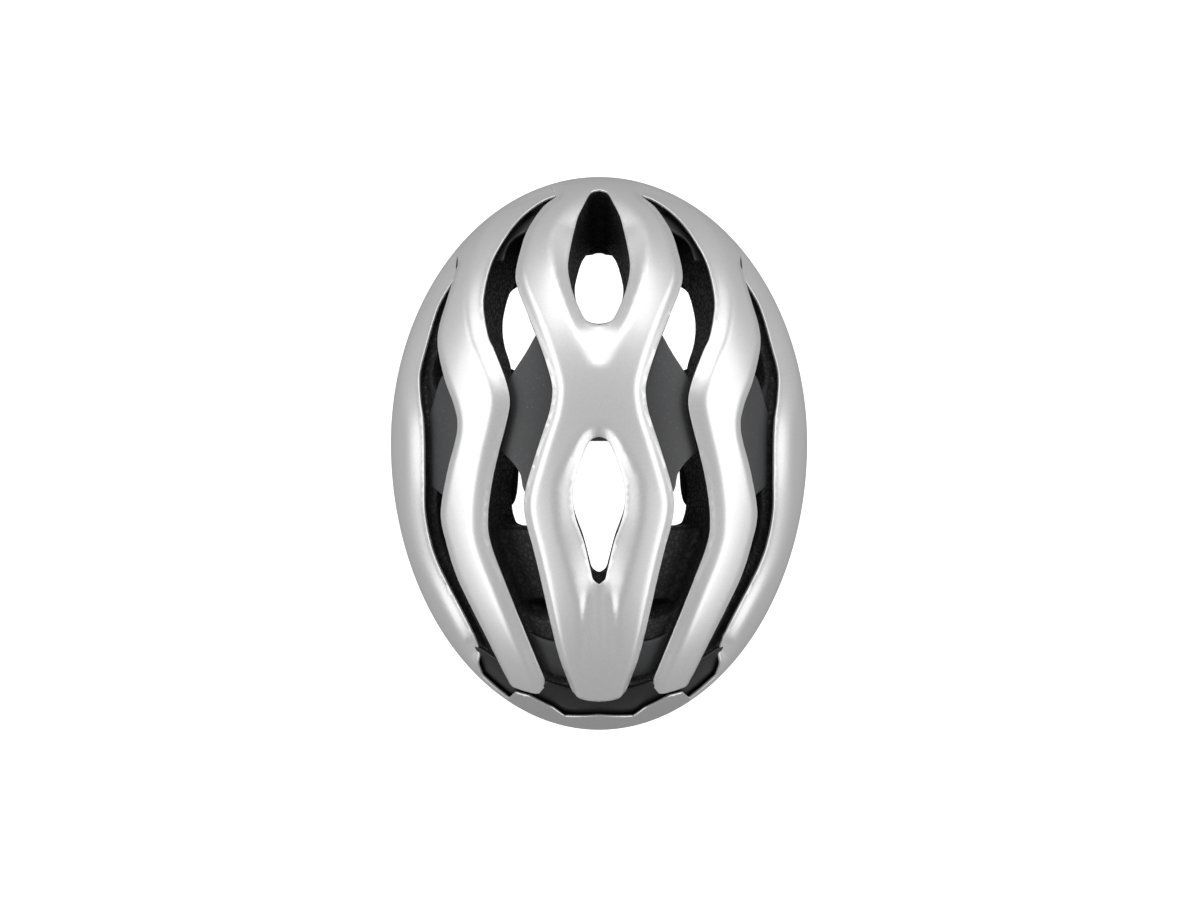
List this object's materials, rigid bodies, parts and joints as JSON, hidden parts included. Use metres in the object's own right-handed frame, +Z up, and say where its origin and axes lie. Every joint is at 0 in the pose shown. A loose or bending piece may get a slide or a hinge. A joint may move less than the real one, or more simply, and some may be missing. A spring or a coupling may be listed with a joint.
{
  "type": "cycling helmet",
  "caption": "Ribbed road cycling helmet with large vents, foam liner, dial-adjusted nape cradle, webbing straps and a side-release chin buckle.",
  "frame": {"origin": "middle of the head opening, level with the temples, where a head sits", "axes": "+Z up through the crown, brow faces -Y, +X is the wearer's left"},
  "size_m": [0.215, 0.2855, 0.2881],
  "materials": {
    "foam": "matt expanded bead foam",
    "shell_white": "pearl gloss",
    "shell_silver": "silver gloss",
    "tail_black": "satin",
    "wrap_black": "satin",
    "bridge_grey": "satin, fine speckle",
    "pad": "knitted pad cover",
    "nylon": "fine matt",
    "webbing": "woven",
    "rubber": "matt",
    "steel": "plain"
  },
  "bodies": {
    "helmet": {"foam_liner": "foam", "centre_shell": "shell_white", "mid_shell_left": "shell_white", "mid_shell_right": "shell_white", "side_shell_left": "shell_white", "side_shell_right": "shell_white", "rear_shell": "shell_silver", "tail_panel": "tail_black", "lower_wrap": "wrap_black", "front_bridge_left": "bridge_grey", "front_bridge_right": "bridge_grey", "crown_bridge_left": "bridge_grey", "crown_bridge_right": "bridge_grey", "crown_side_bridge_left": "bridge_grey", "crown_side_bridge_right": "bridge_grey", "rear_bridge_left": "bridge_grey", "rear_bridge_right": "bridge_grey", "rear_side_bridge_left": "bridge_grey", "rear_side_bridge_right": "bridge_grey", "brow_pad": "pad", "crown_pad": "pad", "rear_pad": "pad", "side_pad_left": "pad", "side_pad_right": "pad", "chin_pad": "pad", "temple_anchors": "nylon", "front_anchors": "nylon", "rear_anchors": "nylon", "divider_left": "nylon", "divider_right": "nylon", "buckle_socket": "nylon", "strap_keeper": "rubber", "lever_pins": "steel", "front_strap_left": "webbing", "front_strap_right": "webbing", "rear_strap_left": "webbing", "rear_strap_right": "webbing", "buckle_strap": "webbing", "chin_strap": "webbing"},
    "fit_band": {"side_arm_left": "nylon", "side_arm_right": "nylon", "temple_pins": "nylon"},
    "cradle": {"cradle_frame": "nylon", "housing_cover": "nylon", "cradle_pads": "pad"},
    "rack_l": {"rack_left": "nylon"},
    "rack_r": {"rack_right": "nylon"},
    "dial": {"dial_knob": "nylon", "dial_grip": "rubber", "pinion": "nylon", "axle_screw": "steel"},
    "plug": {"buckle_plug": "nylon", "prong_pins": "steel"},
    "prong_l": {"buckle_prong_left": "nylon"},
    "prong_r": {"buckle_prong_right": "nylon"},
    "lever_l": {"divider_lever_left": "nylon"},
    "lever_r": {"divider_lever_right": "nylon"}
  },
  "joints": [
    {"name": "height_adjust", "type": "hinge", "parent": "helmet", "child": "fit_band", "pos_m": [0, -0.045, 0.018], "axis": [1, 0, 0], "range_deg": [-4, 4]},
    {"name": "fit_slide", "type": "slide", "parent": "fit_band", "child": "cradle", "axis": [0, -0.9397, 0.342], "range_m": [0, 0.01]},
    {"name": "rack_left_slide", "type": "slide", "parent": "cradle", "child": "rack_l", "axis": [-1, 0, 0], "range_m": [0, 0.01]},
    {"name": "rack_right_slide", "type": "slide", "parent": "cradle", "child": "rack_r", "axis": [1, 0, 0], "range_m": [0, 0.01]},
    {"name": "dial_turn", "type": "hinge", "parent": "cradle", "child": "dial", "pos_m": [0, 0.07904, -0.02715], "axis": [0, -0.9397, 0.342], "range_deg": [0, 143.3]},
    {"name": "buckle_release", "type": "slide", "parent": "helmet", "child": "plug", "axis": [-0.7071, 0, -0.7071], "range_m": [0, 0.022]},
    {"name": "prong_left_squeeze", "type": "hinge", "parent": "plug", "child": "prong_l", "pos_m": [0.05322, -0.0076, -0.09806], "axis": [0.7071, 0, -0.7071], "range_deg": [0, 4], "stiffness_Nm_per_rad": 0.002},
    {"name": "prong_right_squeeze", "type": "hinge", "parent": "plug", "child": "prong_r", "pos_m": [0.05322, -0.0284, -0.09806], "axis": [-0.7071, 0, 0.7071], "range_deg": [0, 4], "stiffness_Nm_per_rad": 0.002},
    {"name": "lever_left_flip", "type": "hinge", "parent": "helmet", "child": "lever_l", "pos_m": [0.0863, -0.018, -0.0435], "axis": [0, -1, 0], "range_deg": [0, 80]},
    {"name": "lever_right_flip", "type": "hinge", "parent": "helmet", "child": "lever_r", "pos_m": [-0.0863, -0.018, -0.0435], "axis": [0, 1, 0], "range_deg": [0, 80]}
  ],
  "couplings": [
    {"joint": "dial_turn", "follows": "fit_slide", "rad_per_m": 250},
    {"joint": "rack_left_slide", "follows": "fit_slide", "ratio": 1},
    {"joint": "rack_right_slide", "follows": "fit_slide", "ratio": 1},
    {"joint": "prong_right_squeeze", "follows": "prong_left_squeeze", "ratio": 1}
  ]
}
